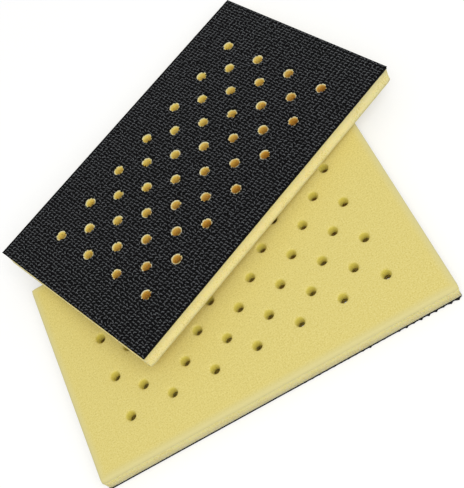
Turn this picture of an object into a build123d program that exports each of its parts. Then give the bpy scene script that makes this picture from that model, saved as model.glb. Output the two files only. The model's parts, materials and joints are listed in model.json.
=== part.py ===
"""A pair of perforated soft interface pads for a finishing sander.

Each pad is a laminate of three layers: a moulded micro-hook sheet that the abrasive
sticks to, a foam core, and a loop face that grips the sander and rolls over the cut
edges. One pad lies with its loop face up. The other lies across its far long edge,
hook face up, with its far corner on the bench.

Millimetres, +Z up. The origin is the centre of the lower pad's underside, +X runs
along that pad's length, and the upper pad leans away towards +Y.
"""

import os
from math import asin, atan2, cos, degrees, hypot, radians, sin

from build123d import *

# Outline that the die cuts
PAD_LENGTH = 133.0
PAD_WIDTH = 81.0
CORNER_RADIUS = 0.8

# Layers, from the hook tips to the loop pile
HOOK_SHEET = 0.9  # film with its field of hooks
FOAM_CORE = 6.5
LOOP_FACE = 0.6
EDGE_ROLL = 1.0  # radius at which the loop face curls over the cut edge

# Dust holes, staggered row by row
HOLE_DIAMETER = 4.5
HOLE_SIDES = 10  # a hole is this many flats, so that 46 holes in 6 layers stay light
HOLE_PITCH = 16.2
ROW_SPACING = 8.0
HOLE_MARGIN = 14.0  # least distance from a hole's centre to the pad's edge

# How the upper pad lies on the lower one
YAW = 26.0
OVERHANG = 9.5  # from the edge that carries it to its centre, down its slope
SIDE_SHIFT = 8.0
REST_GAP = 0.2

PAD_THICKNESS = HOOK_SHEET + FOAM_CORE + LOOP_FACE


def hole_centres():
    """Centres of the dust holes. Every second row is half a pitch along and has one fewer."""
    rows = 1 + int((PAD_WIDTH - 2 * HOLE_MARGIN) / ROW_SPACING)
    in_long_row = 1 + int((PAD_LENGTH - 2 * HOLE_MARGIN) / HOLE_PITCH)
    centres = []
    for row in range(rows):
        in_row = in_long_row - row % 2
        for k in range(in_row):
            x = (k - (in_row - 1) / 2) * HOLE_PITCH
            y = (row - (rows - 1) / 2) * ROW_SPACING
            centres.append((x, y))
    return centres


def die_cut():
    """The outline and the dust holes, as the die cuts them through the whole laminate."""
    outline = RectangleRounded(PAD_LENGTH, PAD_WIDTH, CORNER_RADIUS)
    hole = RegularPolygon(HOLE_DIAMETER / 2, HOLE_SIDES)
    return outline - [Pos(x, y) * hole for x, y in hole_centres()]


def rolled_block(inset, roll):
    """A block with rounded top edges, that far inside a pad's surface."""
    outline = Rectangle(PAD_LENGTH - 2 * inset, PAD_WIDTH - 2 * inset)
    block = extrude(outline, PAD_THICKNESS - inset)
    return fillet(block.faces().sort_by(Axis.Z)[-1].edges(), roll)


def above(part, height):
    """What the part has above that height."""
    return split(part, Plane.XY.offset(height), keep=Keep.TOP)


def pad_layers():
    """The three layers of a pad that lies on its hooks, each by name."""
    pad = extrude(die_cut(), PAD_THICKNESS) & rolled_block(0, EDGE_ROLL)
    under_loops = rolled_block(LOOP_FACE, EDGE_ROLL - LOOP_FACE)
    loop_face = above(pad - under_loops, PAD_THICKNESS - EDGE_ROLL)
    return {
        "hook_sheet": extrude(die_cut(), HOOK_SHEET),
        "foam_core": above(pad, HOOK_SHEET) - loop_face,
        "loop_face": loop_face,
    }


def lean():
    """How far the upper pad tips, so that it rests on the edge and on its far corner."""
    turn = radians(YAW)
    along = (PAD_LENGTH / 2 - EDGE_ROLL) * sin(turn)
    across = (PAD_WIDTH / 2 - EDGE_ROLL) * cos(turn)
    to_corner = OVERHANG + along + across
    between_rolls = 2 * EDGE_ROLL + REST_GAP
    drop = PAD_THICKNESS - 2 * EDGE_ROLL
    return asin(drop / hypot(to_corner, between_rolls)) + atan2(between_rolls, to_corner)


def upper_place():
    """Where the upper pad lies: turned over, swung round and leaning on the lower one."""
    tip = lean()
    edge = Vector(SIDE_SHIFT, PAD_WIDTH / 2 - EDGE_ROLL, PAD_THICKNESS - EDGE_ROLL)
    upright = Vector(0, sin(tip), cos(tip))
    downhill = Vector(0, cos(tip), -sin(tip))
    centre = edge + upright * (EDGE_ROLL + REST_GAP + PAD_THICKNESS) + downhill * OVERHANG
    return Pos(*centre) * Rot(-degrees(tip), 0, 0) * Rot(0, 0, YAW) * Rot(180, 0, 0)


def main():
    os.makedirs("parts", exist_ok=True)
    places = {"lower": Pos(0, 0, 0), "upper": upper_place()}
    layers = pad_layers()
    for pad, place in places.items():
        for layer, shape in layers.items():
            export_step(place * shape, f"parts/{pad}_{layer}.step")


main()
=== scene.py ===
"""Two perforated soft interface pads for a finishing sander, dressed around their solids.

One pad lies with its loop face up. The other leans across it with its micro-hook face up. Each pad is
made of four pieces: the moulded film, the hooks that stand on it, the foam core and the loop face.

The mesh code works in millimetres in a pad's own frame: hook tips at z = 0, loop face uppermost, +x along
the pad's length. A placement per pad carries that into the frame, which is in metres.
"""

import json
from math import copysign, cos, hypot, pi, radians, sin, sqrt, tau
from random import Random

import bpy
from mathutils import Matrix, Vector, noise


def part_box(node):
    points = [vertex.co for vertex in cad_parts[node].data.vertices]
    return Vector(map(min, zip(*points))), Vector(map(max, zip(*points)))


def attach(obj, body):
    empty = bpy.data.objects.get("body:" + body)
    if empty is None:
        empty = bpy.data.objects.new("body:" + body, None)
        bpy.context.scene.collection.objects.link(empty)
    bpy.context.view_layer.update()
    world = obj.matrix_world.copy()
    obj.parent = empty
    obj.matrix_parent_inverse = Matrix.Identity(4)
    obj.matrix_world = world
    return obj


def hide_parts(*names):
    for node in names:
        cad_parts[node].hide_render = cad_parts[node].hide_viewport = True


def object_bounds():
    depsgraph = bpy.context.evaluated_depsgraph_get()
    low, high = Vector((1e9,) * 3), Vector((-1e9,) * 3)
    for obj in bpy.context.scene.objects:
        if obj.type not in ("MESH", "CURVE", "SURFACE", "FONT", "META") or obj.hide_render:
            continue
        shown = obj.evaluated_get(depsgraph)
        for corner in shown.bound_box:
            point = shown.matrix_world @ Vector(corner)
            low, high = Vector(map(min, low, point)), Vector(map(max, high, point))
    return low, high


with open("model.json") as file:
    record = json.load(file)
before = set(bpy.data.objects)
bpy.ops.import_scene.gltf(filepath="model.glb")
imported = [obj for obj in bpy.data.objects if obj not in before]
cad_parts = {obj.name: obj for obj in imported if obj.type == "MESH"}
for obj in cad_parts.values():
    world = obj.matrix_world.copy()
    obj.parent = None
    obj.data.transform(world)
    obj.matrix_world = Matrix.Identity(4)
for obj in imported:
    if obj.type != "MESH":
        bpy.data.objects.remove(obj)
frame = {"record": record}
cad_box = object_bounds()

MM = 0.001
SLACK = 0.001          # in millimetres, for telling whether a place is on an edge

# The pad as it was cut, read from the solids of the lower one, which lies square in the frame
film_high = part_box("lower_hook_sheet")[1]
core_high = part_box("lower_foam_core")[1]
loop_low, loop_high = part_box("lower_loop_face")
HALF_LENGTH = film_high.x / MM
HALF_WIDTH = film_high.y / MM
FILM_BACK = film_high.z / MM   # height at which the film is bonded to the foam
CORE_TOP = core_high.z / MM
LOOP_TOP = loop_high.z / MM
LOOP_THICKNESS = LOOP_TOP - CORE_TOP
CORNER_RADIUS = 0.8

# The knit is drawn down round the cut edge, further than it is drawn in, and thins out at its end
ROLL_IN = 1.1
ROLL_DOWN = 1.4
LOOP_EDGE = LOOP_TOP - ROLL_DOWN
KNIT_END = 0.01        # its thickness at that end
CLEAR = 0.02           # kept between neighbouring surfaces that would otherwise share a place

# Dust holes, staggered row by row
HALF_PITCH = 8.1
ROW_SPACING = 8.0
STEPS_OUT = 6          # half pitches from the middle to the outermost holes
ROWS_OUT = 3
PATCH = 3.5            # half-width of the square patch of grid that a dust hole takes the place of

# Hook sheet
FILM_FACE = 0.35       # height of the film's face, from which the hooks stand down to z = 0
FILM_HOLE = 2.18       # radius to which its holes close up once the punch is out
FILM_BEVEL = 0.05
FILM_RIM = 0.15        # width of the rim that the die has dragged down
BURR_PITCH = HALF_PITCH / 3    # from one caught hook to the next, which is some two hooks on
HOOK_SET = 0.36        # how far a hook's root stands behind its place in the rows
HOOK_PITCH = 1.2       # along the pad's length
HOOK_ROW = 1.71        # across it
END_MARGIN = 0.45      # least distance from a hook's place to the cut end, the cut side and a hole
SIDE_MARGIN = 0.46
HOLE_MARGIN = 0.05

# Standard errors of a hook's place, of its turn in radians and of its height as a share
ERROR_ALONG = 0.09
ERROR_ACROSS = 0.11
ERROR_TURN = 0.33
ERROR_HEIGHT = 0.15

# A hook's bend from its root, a short rib, to its tip at one end of that rib. Each station is (reach,
# height above the film, thickness, width, place along the rib).
HOOK_BEND = [
    (0.0, -0.05, 0.3, 0.7, 0.0),
    (0.0, 0.2, 0.22, 0.66, 0.0),
    (0.1, 0.3, 0.17, 0.42, 0.12),
    (0.6, 0.3, 0.15, 0.32, 0.17),
    (1.1, 0.12, 0.1, 0.24, 0.2),
]

# How the upper pad is turned on the lower one, as in its solids
UPPER_YAW = radians(26.0)

# Studio, in metres and watts
FLOOR_HALF = 0.9
PAPER_LIFT = 0.44      # brings the lit paper up to full white where it is looked at
ROOM_LIGHT = 0.64
KEY_PLACE = (0.2, -0.62, 1.0)
KEY_SIZE = 1.1
KEY_POWER = 7.4
SENSOR = 36            # width and focal length in millimetres
LENS = 77.26
CAMERA_PLACE = (0.035, -0.1755, 0.3203)
CAMERA_LOOK = (-0.0742, 0.5195, -0.8512)
CAMERA_RIGHT = (0.8686, -0.3857, -0.3112)


# ---------------------------------------------------------------- materials


def linear(hex_colour):
    """An sRGB hex colour as the linear RGBA that shader sockets take."""
    channels = [int(hex_colour[k:k + 2], 16) / 255 for k in (1, 3, 5)]
    return [c / 12.92 if c <= 0.04045 else ((c + 0.055) / 1.055) ** 2.4 for c in channels] + [1.0]


def add_node(tree, kind, inputs=None, stops=None, **settings):
    """Adds a node. Inputs are values or sockets to link, and stops are a colour ramp's (place, hex) pairs."""
    node = tree.nodes.new(kind)
    for name, value in settings.items():
        setattr(node, name, value)
    for name, value in (inputs or {}).items():
        if isinstance(value, bpy.types.NodeSocket):
            tree.links.new(value, node.inputs[name])
        else:
            node.inputs[name].default_value = value
    for k, (place, hex_colour) in enumerate(stops or []):
        stop = node.color_ramp.elements[k] if k < 2 else node.color_ramp.elements.new(place)
        stop.position = place
        stop.color = linear(hex_colour)
    return node


def mixed(tree, factor, first, second):
    """The colour socket of a mix of two colours. Sockets 6 and 7 are the mix node's colours."""
    node = add_node(tree, "ShaderNodeMix", {0: factor, 6: first, 7: second}, data_type="RGBA")
    return node.outputs[2]


def new_material(name):
    """An empty node material: its tree, its output and the piece's own coordinates, in metres."""
    material = bpy.data.materials.new(name)
    material.use_nodes = True
    tree = material.node_tree
    tree.nodes.clear()
    output = add_node(tree, "ShaderNodeOutputMaterial")
    place = add_node(tree, "ShaderNodeTexCoord").outputs["Object"]
    return material, tree, output, place


def per_metre(size_mm):
    """Texture scale that makes a pattern's features about that many millimetres wide."""
    return 1 / (size_mm * MM)


def moulded_nylon(name, shades, streak_size, gloss, sheen):
    """Black polyamide, moulded on a roll: streaks of two shades, a roughness range and a specular level."""
    material, tree, output, place = new_material(name)
    streaks = add_node(
        tree, "ShaderNodeTexNoise", {"Vector": place, "Scale": per_metre(streak_size), "Detail": 3},
    )
    colour = add_node(
        tree, "ShaderNodeValToRGB", {"Fac": streaks.outputs["Fac"]},
        stops=[(0.35, shades[0]), (0.65, shades[1])],
    )
    grain = add_node(tree, "ShaderNodeTexNoise", {"Vector": place, "Scale": per_metre(0.25), "Detail": 2})
    bump = add_node(
        tree, "ShaderNodeBump",
        {"Height": grain.outputs["Fac"], "Strength": 0.25, "Distance": 0.03 * MM},
    )
    rough = add_node(
        tree, "ShaderNodeMapRange",
        {"Value": grain.outputs["Fac"], "To Min": gloss[0], "To Max": gloss[1]},
    )
    shader = add_node(
        tree, "ShaderNodeBsdfPrincipled",
        {
            "Base Color": colour.outputs["Color"],
            "Roughness": rough.outputs["Result"],
            "IOR": 1.53,
            "Specular IOR Level": sheen,
            "Normal": bump.outputs["Normal"],
        },
    )
    tree.links.new(shader.outputs["BSDF"], output.inputs["Surface"])
    return material


def cut_foam(name, shades, painted_tints):
    """Open-cell polyurethane foam, cut by a die: dry opened cells that let some light in.

    Tints are painted light and shade: (axis, shade, where along it the tint is full, where it has gone,
    strength), in the pad's frame.
    """
    material, tree, output, place = new_material(name)
    # Cells of a fine foam are 0.3 mm across and would not show; these are drawn at 0.7 mm.
    cells = add_node(tree, "ShaderNodeTexVoronoi", {"Vector": place, "Scale": per_metre(0.7)})
    patches = add_node(tree, "ShaderNodeTexNoise", {"Vector": place, "Scale": per_metre(6), "Detail": 3})
    tone = add_node(
        tree, "ShaderNodeMath", {0: cells.outputs["Distance"], 1: patches.outputs["Fac"]}, operation="ADD",
    )
    colour = add_node(
        tree, "ShaderNodeValToRGB", {"Fac": tone.outputs["Value"]},
        stops=list(zip((0.45, 0.8, 1.1), shades)),
    ).outputs["Color"]
    axes = add_node(tree, "ShaderNodeSeparateXYZ", {0: place})
    for axis, shade, full, gone, strength in painted_tints:
        amount = add_node(
            tree, "ShaderNodeMapRange",
            {
                "Value": axes.outputs[axis],
                "From Min": full * MM, "From Max": gone * MM, "To Min": strength, "To Max": 0,
            },
        )
        colour = mixed(tree, amount.outputs["Result"], colour, linear(shade))
    bump = add_node(
        tree, "ShaderNodeBump",
        {"Height": cells.outputs["Distance"], "Strength": 0.6, "Distance": 0.15 * MM},
    )
    shader = add_node(
        tree, "ShaderNodeBsdfPrincipled",
        {
            "Base Color": colour,
            "Roughness": 0.9,
            "IOR": 1.5,
            "Specular IOR Level": 0.2,
            "Subsurface Weight": 0.5,
            "Subsurface Radius": (1.0, 0.85, 0.45),
            "Subsurface Scale": 2.5 * MM,
            "Normal": bump.outputs["Normal"],
        },
    )
    tree.links.new(shader.outputs["BSDF"], output.inputs["Surface"])
    return material


def brushed_loop_knit():
    """Polyamide loop knit, brushed and flame-bonded to the foam: a soft yellow face with a short fuzz."""
    material, tree, output, place = new_material("brushed loop knit")
    # Loops stand 0.15 mm apart and would not show; the fuzz is drawn in tufts of 0.5 mm.
    tufts = add_node(
        tree, "ShaderNodeTexNoise",
        {"Vector": place, "Scale": per_metre(0.5), "Detail": 4, "Roughness": 0.65},
    )
    colour = add_node(
        tree, "ShaderNodeValToRGB", {"Fac": tufts.outputs["Fac"]},
        stops=[(0.3, "#CEBC63"), (0.5, "#E1D17B"), (0.7, "#EBDD91")],
    )
    # Painted shade: down in the dust holes the knit is painted a deeper yellow, the colour it takes in shade
    # there.
    axes = add_node(tree, "ShaderNodeSeparateXYZ", {0: place})
    painted_hole_shade = add_node(
        tree, "ShaderNodeMapRange",
        {
            "Value": axes.outputs["Z"],
            "From Min": (LOOP_TOP - 0.1) * MM, "From Max": (LOOP_TOP - 0.8) * MM, "To Max": 0.85,
        },
    )
    colour = mixed(tree, painted_hole_shade.outputs["Result"], colour.outputs["Color"], linear("#E0D355"))
    # Painted shade: towards the cut edge and over it, the knit is painted a greyer yellow, for the fibres in
    # shade where the edge rolls away.
    past = []
    for axis, half in (("X", HALF_LENGTH), ("Y", HALF_WIDTH)):
        out = add_node(tree, "ShaderNodeMath", {0: axes.outputs[axis]}, operation="ABSOLUTE")
        past.append(add_node(
            tree, "ShaderNodeMath", {0: out.outputs["Value"], 1: half * MM}, operation="SUBTRACT",
        ).outputs["Value"])
    nearest = add_node(tree, "ShaderNodeMath", {0: past[0], 1: past[1]}, operation="MAXIMUM")
    painted_edge_shade = add_node(
        tree, "ShaderNodeMapRange",
        {"Value": nearest.outputs["Value"], "From Min": -3.5 * MM, "From Max": 0.0},
        interpolation_type="SMOOTHSTEP",
    )
    colour = mixed(tree, painted_edge_shade.outputs["Result"], colour, linear("#DCD190"))
    bump = add_node(
        tree, "ShaderNodeBump",
        {"Height": tufts.outputs["Fac"], "Strength": 0.5, "Distance": 0.2 * MM},
    )
    shader = add_node(
        tree, "ShaderNodeBsdfPrincipled",
        {
            "Base Color": colour,
            "Roughness": 0.85,
            "IOR": 1.53,
            "Specular IOR Level": 0.25,
            "Sheen Weight": 0.25,
            "Sheen Roughness": 0.6,
            "Sheen Tint": linear("#FFF6D0"),
            "Normal": bump.outputs["Normal"],
        },
    )
    tree.links.new(shader.outputs["BSDF"], output.inputs["Surface"])
    return material


def backdrop_paper():
    """Matt white studio paper, lifted to full white where the camera, gloss or glass looks at it."""
    material, tree, output, place = new_material("studio paper")
    shader = add_node(
        tree, "ShaderNodeBsdfPrincipled",
        {"Base Color": linear("#CDCDCC"), "Roughness": 0.95, "Specular IOR Level": 0.1},
    )
    lift = add_node(tree, "ShaderNodeEmission", {"Color": linear("#FFFFFF"), "Strength": PAPER_LIFT})
    rays = add_node(tree, "ShaderNodeLightPath")
    seen = add_node(
        tree, "ShaderNodeMath",
        {0: rays.outputs["Is Camera Ray"], 1: rays.outputs["Is Glossy Ray"]}, operation="MAXIMUM",
    )
    seen = add_node(
        tree, "ShaderNodeMath",
        {0: seen.outputs["Value"], 1: rays.outputs["Is Transmission Ray"]}, operation="MAXIMUM",
    )
    off = add_node(tree, "ShaderNodeEmission", {"Strength": 0})
    lit = add_node(
        tree, "ShaderNodeMixShader",
        {0: seen.outputs["Value"], 1: off.outputs["Emission"], 2: lift.outputs["Emission"]},
    )
    both = add_node(tree, "ShaderNodeAddShader", {0: shader.outputs["BSDF"], 1: lit.outputs["Shader"]})
    tree.links.new(both.outputs["Shader"], output.inputs["Surface"])
    return material


# ---------------------------------------------------------------- meshes


class Shell:
    """Points and faces of one closed piece, in millimetres."""

    def __init__(self):
        self.points = []
        self.faces = []
        self.wall_start = None     # the first face of the dust holes' walls, where a layer has them

    def add_ring(self, places):
        """Adds a ring of points and returns their numbers."""
        first = len(self.points)
        self.points.extend(places)
        return range(first, len(self.points))

    def bridge(self, ring, next_ring):
        """Closes the band between two rings that have as many points."""
        count = len(ring)
        for k in range(count):
            after = (k + 1) % count
            self.faces.append((ring[k], next_ring[k], next_ring[after], ring[after]))


def even_steps(start, end, size):
    """Values from start, which is left out, to end, as near to size apart as comes out even."""
    count = max(1, round((end - start) / size))
    return [start + (end - start) * k / count for k in range(1, count + 1)]


def grid_lines(cell, whole_cells, end):
    """Grid lines on both sides of 0: whole cells over the hole field, then even ones out to the end."""
    half = [cell * k for k in range(1, whole_cells + 1)]
    half += even_steps(half[-1], end, cell)
    return [-v for v in reversed(half)] + [0.0] + half


def square_walk(reach):
    """Grid offsets round a square, counter-clockwise from the middle of its right side."""
    right = [(reach, k) for k in range(0, reach)]
    far = [(k, reach) for k in range(reach, -reach, -1)]
    left = [(-reach, k) for k in range(reach, -reach, -1)]
    near = [(k, -reach) for k in range(-reach, reach)]
    rest = [(reach, k) for k in range(-reach, 0)]
    return right + far + left + near + rest


def outline_walk(columns, rows):
    """Grid places round a whole face, counter-clockwise."""
    right = [(columns - 1, k) for k in range(0, rows - 1)]
    far = [(k, rows - 1) for k in range(columns - 1, 0, -1)]
    left = [(0, k) for k in range(rows - 1, 0, -1)]
    near = [(k, 0) for k in range(0, columns - 1)]
    return right + far + left + near


def hole_steps():
    """Where the dust holes are, in half pitches along and rows across from the middle."""
    return [
        (step, row)
        for row in range(-ROWS_OUT, ROWS_OUT + 1)
        for step in range(-STEPS_OUT, STEPS_OUT + 1)
        if (step + row) % 2
    ]


def perforated_face(shell, cells, inset, height, upward):
    """Adds one face of a layer: a grid with a square patch left open round each dust hole.

    There are that many cells to half a hole pitch, so hole centres fall on grid points. Returns the ring
    round the face and a ring round each patch.
    """
    reach = round(PATCH / (HALF_PITCH / cells))
    xs = grid_lines(HALF_PITCH / cells, STEPS_OUT * cells + reach, HALF_LENGTH - inset)
    ys = grid_lines(ROW_SPACING / cells, ROWS_OUT * cells + reach, HALF_WIDTH - inset)
    centres = [
        (len(xs) // 2 + step * cells, len(ys) // 2 + row * cells) for step, row in hole_steps()
    ]
    open_points = {
        (i + a, j + b)
        for i, j in centres
        for a in range(-reach + 1, reach)
        for b in range(-reach + 1, reach)
    }
    open_cells = {
        (i + a, j + b) for i, j in centres for a in range(-reach, reach) for b in range(-reach, reach)
    }
    number = {}
    for i, x in enumerate(xs):
        for j, y in enumerate(ys):
            if (i, j) not in open_points:
                number[i, j] = len(shell.points)
                shell.points.append((x, y, height))
    for i in range(len(xs) - 1):
        for j in range(len(ys) - 1):
            if (i, j) not in open_cells:
                face = (number[i, j], number[i + 1, j], number[i + 1, j + 1], number[i, j + 1])
                shell.faces.append(face if upward else face[::-1])
    outline = [number[place] for place in outline_walk(len(xs), len(ys))]
    patches = [[number[i + a, j + b] for a, b in square_walk(reach)] for i, j in centres]
    return outline, patches


def outline_point(x, y, face_inset, inset):
    """Where the point at (x, y) on a face's edge lands on the pad's outline drawn in by inset."""
    half_x = HALF_LENGTH - inset
    half_y = HALF_WIDTH - inset
    radius = max(CORNER_RADIUS - inset, CORNER_RADIUS / 4)
    at_end = abs(x) > HALF_LENGTH - face_inset - SLACK
    at_side = abs(y) > HALF_WIDTH - face_inset - SLACK
    if at_end and at_side:
        cut = radius * (1 - sqrt(0.5))
        return copysign(half_x - cut, x), copysign(half_y - cut, y)
    if at_end:
        return copysign(half_x, x), max(radius - half_y, min(half_y - radius, y))
    return max(radius - half_x, min(half_x - radius, x)), copysign(half_y, y)


def perforated_layer(cells, top_inset, top, edge, rim, bottom_inset, bottom):
    """A closed layer of the pad: two perforated faces, its edge, and the wall of each dust hole.

    The edge is a list of (inset, z) and the rim a list of (radius, z), both from the top face down to the
    bottom one.
    """
    shell = Shell()
    outline, patches = perforated_face(shell, cells, top_inset, top, True)
    under_outline, under_patches = perforated_face(shell, cells, bottom_inset, bottom, False)
    start = [shell.points[k][:2] for k in outline]
    ring = outline
    for inset, z in edge:
        places = [(*outline_point(x, y, top_inset, inset), z) for x, y in start]
        next_ring = shell.add_ring(places)
        shell.bridge(ring, next_ring)
        ring = next_ring
    shell.bridge(ring, under_outline)
    shell.wall_start = len(shell.faces)
    for (step, row), patch, under_patch in zip(hole_steps(), patches, under_patches):
        ring = patch
        for radius, z in rim:
            next_ring = shell.add_ring(circle(step * HALF_PITCH, row * ROW_SPACING, radius, z, len(patch)))
            shell.bridge(next_ring, ring)
            ring = next_ring
        shell.bridge(under_patch, ring)
    return shell


def circle(x, y, radius, z, count):
    """Points of a level circle, counter-clockwise from its right side."""
    return [
        (x + radius * cos(tau * k / count), y + radius * sin(tau * k / count), z) for k in range(count)
    ]


def roughened(shell, relief):
    """Moves each point of the shell by the relief's (dx, dy, dz) at that point."""
    shell.points = [
        tuple(a + b for a, b in zip(point, relief(*point))) for point in shell.points
    ]
    return shell


def rolled(thickness_above, thickness_beside, turns):
    """(inset, z) down the roll of an edge, under knit of that thickness above and beside."""
    across = ROLL_IN - thickness_beside
    down = ROLL_DOWN - thickness_above
    return [
        (ROLL_IN - across * sin(pi / 2 * k / turns), LOOP_EDGE + down * cos(pi / 2 * k / turns))
        for k in range(1, turns + 1)
    ]


def loop_face_shell():
    """The loop face: flat on top, rolled over the cut edges, and drawn down into the dust holes."""
    outer = rolled(0, 0, turns=7)
    outer.insert(-1, (0, LOOP_EDGE + KNIT_END))    # keeps the shading even down to the edge
    inner = rolled(LOOP_THICKNESS, KNIT_END, turns=5)[::-1]
    # (radius, depth) down the face of the funnel that it makes in a hole, and up the back
    face = [(2.5, 0.02), (2.17, 0.08), (1.92, 0.22), (1.75, 0.45), (1.63, 0.8)]
    throat = [(1.52, 1.3), (1.42, 1.95), (1.33, 2.65), (1.25, 3.35), (1.17, 4.0)]
    back = [(1.27, 4.0), (1.35, 3.35), (1.43, 2.65), (1.53, 1.95), (1.68, 1.35), (1.98, 0.92), (2.5, 0.72)]
    shell = perforated_layer(
        cells=16,
        top_inset=ROLL_IN,
        top=LOOP_TOP,
        edge=outer + inner,
        rim=[(radius, LOOP_TOP - depth) for radius, depth in face + throat + back],
        bottom_inset=ROLL_IN,
        bottom=CORE_TOP,
    )
    return roughened(shell, loop_relief)


def loop_relief(x, y, z):
    """Soft unevenness of the knit, fading to its cut end: the foam gives, and the fuzz lies in tufts."""
    give = 0.1 * noise.noise((x / 19, y / 19, 3.1))
    nap = 0.04 * noise.noise((x / 2.3, y / 2.3, z / 2.3))
    tufts = 0.035 * noise.noise((x / 0.8, y / 0.8, z / 0.8))
    fade = 0.5
    amount = min(1, max(0, (z - LOOP_EDGE) / fade))
    side = amount * 0.5 * (nap + tufts)
    return side, side, amount * (give + nap + tufts)


def foam_core_shell():
    """The foam core: square cut sides that draw in a little, under a rounded shoulder.

    In the dust holes it lies behind the knit's funnel, is crushed to a narrower bore below that, and bulges
    through the film in a lip.
    """
    behind = KNIT_END + CLEAR / 2
    shoulder = rolled(LOOP_THICKNESS + CLEAR, behind, turns=5)
    waist = 0.12
    levels = even_steps(-LOOP_EDGE, -FILM_BACK - CLEAR, 0.5)
    side = [(behind + waist * between_ends(-z), -z) for z in levels]
    funnel = [(2.7, CORE_TOP - 0.25), (2.2, CORE_TOP - 0.55), (1.9, CORE_TOP - 0.95)]
    bore = 1.56
    levels = even_steps(1.4 - CORE_TOP, -FILM_BACK - 0.4, 0.55)
    wall = [(bore, -z) for z in levels]
    lip = [(1.64, 0), (1.76, 0.2), (1.87, 0.34), (1.98, 0.42), (2.09, 0.4), (2.16, 0.1), (2.16, 0)]
    shell = perforated_layer(
        cells=12,
        top_inset=ROLL_IN,
        top=CORE_TOP - CLEAR,
        edge=shoulder + side,
        rim=funnel + wall + [(radius, FILM_BACK - depth) for radius, depth in lip],
        bottom_inset=CLEAR,
        bottom=FILM_BACK,
    )
    return roughened(shell, foam_relief)


def between_ends(z):
    """0 at both ends of the foam's cut side and 1 half-way between them."""
    return sin(pi * (z - FILM_BACK) / (LOOP_EDGE - FILM_BACK))


def foam_relief(x, y, z):
    """Cut cells, which leave the foam's sides and hole walls slightly rough, but not at their ends."""
    depth = 0.07
    cell = 0.8
    fade = 0.3
    amount = depth * min(1, max(0, (z - FILM_BACK) / fade), max(0, (LOOP_EDGE - z) / fade))
    return (
        amount * noise.noise((x / cell, y / cell, z / cell)),
        amount * noise.noise((y / cell, z / cell, 7 + x / cell)),
        0,
    )


def hook_film_shell(drag, point):
    """The film that carries the hooks. The die has dragged its rim over, down to the hooks' tips.

    Drag and point are how far it pushed the rim out, in millimetres, at caught hooks and at the corners.
    """
    shell = perforated_layer(
        cells=12,
        top_inset=FILM_BEVEL,
        top=FILM_BACK,
        edge=[(0, FILM_BACK - FILM_BEVEL), (0, 0.05), (0.08, 0.02)],
        rim=[
            (FILM_HOLE + FILM_BEVEL, FILM_BACK),
            (FILM_HOLE, FILM_BACK - FILM_BEVEL),
            (FILM_HOLE, FILM_FACE + FILM_BEVEL),
            (FILM_HOLE + FILM_BEVEL, FILM_FACE),
        ],
        bottom_inset=FILM_RIM,
        bottom=FILM_FACE,
    )
    return roughened(shell, lambda x, y, z: film_burr(x, y, z, drag, point))


def film_burr(x, y, z, drag, point):
    """The burrs that the die leaves round the outline, and the punch at each hole."""
    if z > FILM_BACK - 2 * FILM_BEVEL:
        return 0, 0, 0
    if z < FILM_FACE - 2 * FILM_BEVEL:
        at_end = abs(x) > HALF_LENGTH - 2 * FILM_RIM
        at_side = abs(y) > HALF_WIDTH - 2 * FILM_RIM
        # It catches hooks on the long sides only, and more of them towards one end.
        caught = max(0, cos(tau * x / BURR_PITCH)) if at_side else 0
        caught *= max(0, x / HALF_LENGTH) * (1 + 2 * noise.noise((x / 5, y / 5, 8.7)))
        lean = 0.08
        push = lean + drag * caught
        if at_end and at_side:
            push = point
        return copysign(push, x) if at_end else 0, copysign(push, y) if at_side else 0, 0
    a, b = min(
        ((x - step * HALF_PITCH, y - row * ROW_SPACING) for step, row in hole_steps()),
        key=lambda offset: hypot(*offset),
    )
    distance = hypot(a, b)
    if distance > FILM_HOLE + 2 * FILM_BEVEL:
        return 0, 0, 0
    pull = 1.2 * max(0, noise.noise((1.7 * x, 1.7 * y, 5.3)))    # a ragged burr, in tags of some 0.6 mm
    return -pull * a / distance, -pull * b / distance, 0


def hook_shape():
    """Points and faces of one hook that reaches along +y from its root at the origin."""
    points = []
    for k, (reach, height, thickness, width, middle) in enumerate(HOOK_BEND):
        before = HOOK_BEND[max(k - 1, 0)]
        after = HOOK_BEND[min(k + 1, len(HOOK_BEND) - 1)]
        run = after[0] - before[0]
        rise = after[1] - before[1]
        length = hypot(run, rise)
        back = (-rise / length * thickness / 2, run / length * thickness / 2)
        for side, face in ((1, 1), (-1, 1), (-1, -1), (1, -1)):
            across = middle + side * width / 2
            points.append((across, reach + face * back[0], height + face * back[1]))
    faces = [(3, 2, 1, 0)]
    for k in range(0, len(points) - 4, 4):
        for a in range(4):
            b = (a + 1) % 4
            faces.append((k + a, k + b, k + 4 + b, k + 4 + a))
    last = len(points) - 4
    faces.append((last, last + 1, last + 2, last + 3))
    return points, faces


def hook_field_shell(seed):
    """All the hooks of a pad, facing one way, and none whose root was punched away."""
    rng = Random(seed)
    shape, faces = hook_shape()
    shell = Shell()
    columns = int((HALF_LENGTH - END_MARGIN) / HOOK_PITCH)
    rows = int((HALF_WIDTH - SIDE_MARGIN) / HOOK_ROW)
    holes = [(step * HALF_PITCH, row * ROW_SPACING) for step, row in hole_steps()]
    for column in range(-columns, columns + 1):
        for row in range(-rows, rows + 1):
            x = column * HOOK_PITCH
            y = row * HOOK_ROW
            if any(hypot(x - a, y - b) < FILM_HOLE + HOLE_MARGIN for a, b in holes):
                continue
            x += rng.gauss(0, ERROR_ALONG)
            y += rng.gauss(0, ERROR_ACROSS)
            turn = rng.gauss(0, ERROR_TURN)
            lift = 1 - abs(rng.gauss(0, ERROR_HEIGHT))
            first = len(shell.points)
            for across, along, height in shape:
                along -= HOOK_SET
                shell.points.append((
                    x + across * cos(turn) - along * sin(turn),
                    y + across * sin(turn) + along * cos(turn),
                    FILM_FACE - height * lift,
                ))
            shell.faces.extend(tuple(first + k for k in reversed(face)) for face in faces)
    return shell


# ---------------------------------------------------------------- pads


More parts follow.
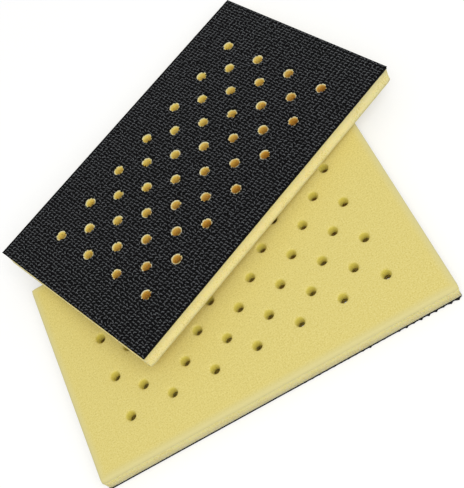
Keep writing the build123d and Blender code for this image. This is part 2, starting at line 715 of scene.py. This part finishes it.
def pad_places():
    """Each pad's placement in the frame. The upper one's comes from the mount on its hook face."""
    mounts = {mount["name"]: mount for mount in frame["record"]["mounts"]}
    face = mounts["abrasive_face"]
    tip = Vector((0, 0, 1)).rotation_difference(Vector(face["axis"])).to_matrix().to_4x4()
    turned_over = Matrix.Rotation(pi, 4, "X")
    swung = Matrix.Rotation(UPPER_YAW, 4, "Z")
    upper = Matrix.Translation(face["pos_m"]) @ tip @ swung @ turned_over
    return {"lower": Matrix.Identity(4), "upper": upper}


def make_piece(name, shell, materials, place, body):
    """Turns a shell into an object that rides on a body and takes its finish from a slot.

    A second material goes on the walls of the dust holes.
    """
    mesh = bpy.data.meshes.new(name)
    mesh.from_pydata([Vector(point) * MM for point in shell.points], [], shell.faces)
    mesh.polygons.foreach_set("use_smooth", [True] * len(mesh.polygons))
    for material in materials:
        mesh.materials.append(material)
    if len(materials) > 1:
        on_wall = [0] * shell.wall_start + [1] * (len(shell.faces) - shell.wall_start)
        mesh.polygons.foreach_set("material_index", on_wall)
    piece = bpy.data.objects.new(name, mesh)
    bpy.context.scene.collection.objects.link(piece)
    piece.matrix_world = place
    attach(piece, body)
    return piece


def dress_pad(pad, place, finishes, rim, seed):
    """Builds the four pieces of one pad and has them stand for its three solids.

    The rim is the film's: how far the die pushed it out, at caught hooks and at the corners.
    """
    body = f"{pad}_pad"
    film = make_piece(
        f"{pad}_hook_film", hook_film_shell(*rim), finishes["film"], place, body,
    )
    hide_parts(f"{pad}_hook_sheet")
    make_piece(
        f"{pad}_micro_hooks", hook_field_shell(seed), finishes["hooks"], place, body,
    )
    core = make_piece(
        f"{pad}_foam", foam_core_shell(), finishes["foam"], place, body,
    )
    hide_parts(f"{pad}_foam_core")
    loops = make_piece(
        f"{pad}_loop_knit", loop_face_shell(), finishes["knit"], place, body,
    )
    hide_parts(f"{pad}_loop_face")


# ---------------------------------------------------------------- studio


def add_floor():
    """Studio paper just under the pads."""
    z = cad_box[0].z - CLEAR * MM
    mesh = bpy.data.meshes.new("studio_floor")
    corners = [(a * FLOOR_HALF, b * FLOOR_HALF, z) for a, b in ((-1, -1), (1, -1), (1, 1), (-1, 1))]
    mesh.from_pydata(corners, [], [(0, 1, 2, 3)])
    mesh.materials.append(backdrop_paper())
    floor = bpy.data.objects.new("studio_floor", mesh)
    bpy.context.scene.collection.objects.link(floor)


def add_softbox(name, place, size, power):
    """A square softbox at a place in metres, facing the pads."""
    light = bpy.data.lights.new(name, "AREA")
    light.size = size
    light.energy = power
    lamp = bpy.data.objects.new(name, light)
    bpy.context.scene.collection.objects.link(lamp)
    lamp.location = place
    lamp.rotation_mode = "QUATERNION"
    lamp.rotation_quaternion = Vector(place).to_track_quat("Z", "Y")


def light_studio():
    """Plain soft light: an even room, white where the camera sees it, and a large softbox overhead."""
    world = bpy.data.worlds.new("studio room")
    bpy.context.scene.world = world
    world.use_nodes = True
    tree = world.node_tree
    tree.nodes.clear()
    room = add_node(tree, "ShaderNodeBackground", {"Color": linear("#FFFFFF"), "Strength": ROOM_LIGHT})
    white = add_node(tree, "ShaderNodeBackground", {"Color": linear("#FFFFFF"), "Strength": 1.0})
    rays = add_node(tree, "ShaderNodeLightPath")
    shown = add_node(
        tree, "ShaderNodeMixShader",
        {0: rays.outputs["Is Camera Ray"], 1: room.outputs["Background"], 2: white.outputs["Background"]},
    )
    add_node(tree, "ShaderNodeOutputWorld", {"Surface": shown.outputs["Shader"]})
    add_softbox("key_softbox", KEY_PLACE, KEY_SIZE, KEY_POWER)


def add_camera():
    """A short telephoto view from above the near side, rolled so that the pads lie cornerwise."""
    data = bpy.data.cameras.new("camera")
    data.sensor_width = SENSOR
    data.lens = LENS
    camera = bpy.data.objects.new("camera", data)
    bpy.context.scene.collection.objects.link(camera)
    look = Vector(CAMERA_LOOK).normalized()
    right = Vector(CAMERA_RIGHT).normalized()
    up = right.cross(look).normalized()
    right = look.cross(up)
    turn = Matrix((right, up, -look)).transposed().to_4x4()
    camera.matrix_world = Matrix.Translation(CAMERA_PLACE) @ turn
    bpy.context.scene.camera = camera


# ---------------------------------------------------------------- scene


# The film and the hooks are one black nylon, painted apart: the film is painted near-black as shade between
# the hooks, and the hooks' pale streaks are painted highlights on their heads.
finishes = {
    "film": [moulded_nylon("dull black nylon film with painted shade", ("#060607", "#0C0C0D"), 1.5, (0.6, 0.8), 0.08)],
    "hooks": [moulded_nylon("satin black nylon hooks with painted highlights", ("#08090A", "#5E6164"), 0.6, (0.3, 0.5), 0.5)],
    "knit": [brushed_loop_knit()],
}
# The hole walls are the same foam as the cut sides, painted a deeper yellow for the light and shade down in
# the holes; each tint below is painted light or shade.
hole_wall_painted_light = cut_foam(
    "punched foam wall with painted light and shade", ("#F2D868", "#F8E27A", "#FCEC8E"),
    [
        # Painted light: gold near the film, the colour of the light that bounces in the holes under the hook
        # face.
        ("Z", "#F8CC50", FILM_BACK, FILM_BACK + 3, 0.45),
        # Painted shade: brown further in from the film, where the holes are dark.
        ("Z", "#A46C18", FILM_BACK + 2.4, FILM_BACK + 0.6, 0.2),
        # Painted shade: orange-brown towards +y across the pad, for the upper pad's holes that lie over the
        # lower pad and get no light from beneath.
        ("Y", "#CE8A12", 24, -14, 0.68),
        # Painted highlight: the lip that bulges through the film is painted pale, as if lit.
        ("Z", "#F3E6AE", FILM_BACK - 0.3, FILM_BACK + 0.05, 0.95),
    ],
)
# The upper pad's foam is painted a shade paler: painted light, for its cut side being lit more brightly than
# the lower pad's.
foam_shades_painted_light = {
    "lower": ("#DCCB7C", "#EADB8C", "#F1E49C"),
    "upper": ("#E2CF85", "#F0E096", "#F7E8A7"),
}
# Painted shade: the cut side is darker towards the film at its bottom, darker and further up on the lower
# pad.
painted_shade_near_film = {
    "lower": ("Z", "#A29B8E", FILM_BACK, FILM_BACK + 4, 0.55),
    "upper": ("Z", "#CDC48E", FILM_BACK, FILM_BACK + 3, 0.6),
}
# The lower pad was cut with a duller die than the upper one.
film_rims = {"lower": (0.42, 0.1), "upper": (0.05, 0.35)}
for seed, (pad, place) in enumerate(pad_places().items(), start=1):
    cut_side = cut_foam(f"cut foam side of {pad} pad", foam_shades_painted_light[pad], [painted_shade_near_film[pad]])
    dress_pad(pad, place, {**finishes, "foam": [cut_side, hole_wall_painted_light]}, film_rims[pad], seed)
add_floor()
light_studio()
add_camera()
bpy.context.scene.view_settings.view_transform = "Standard"
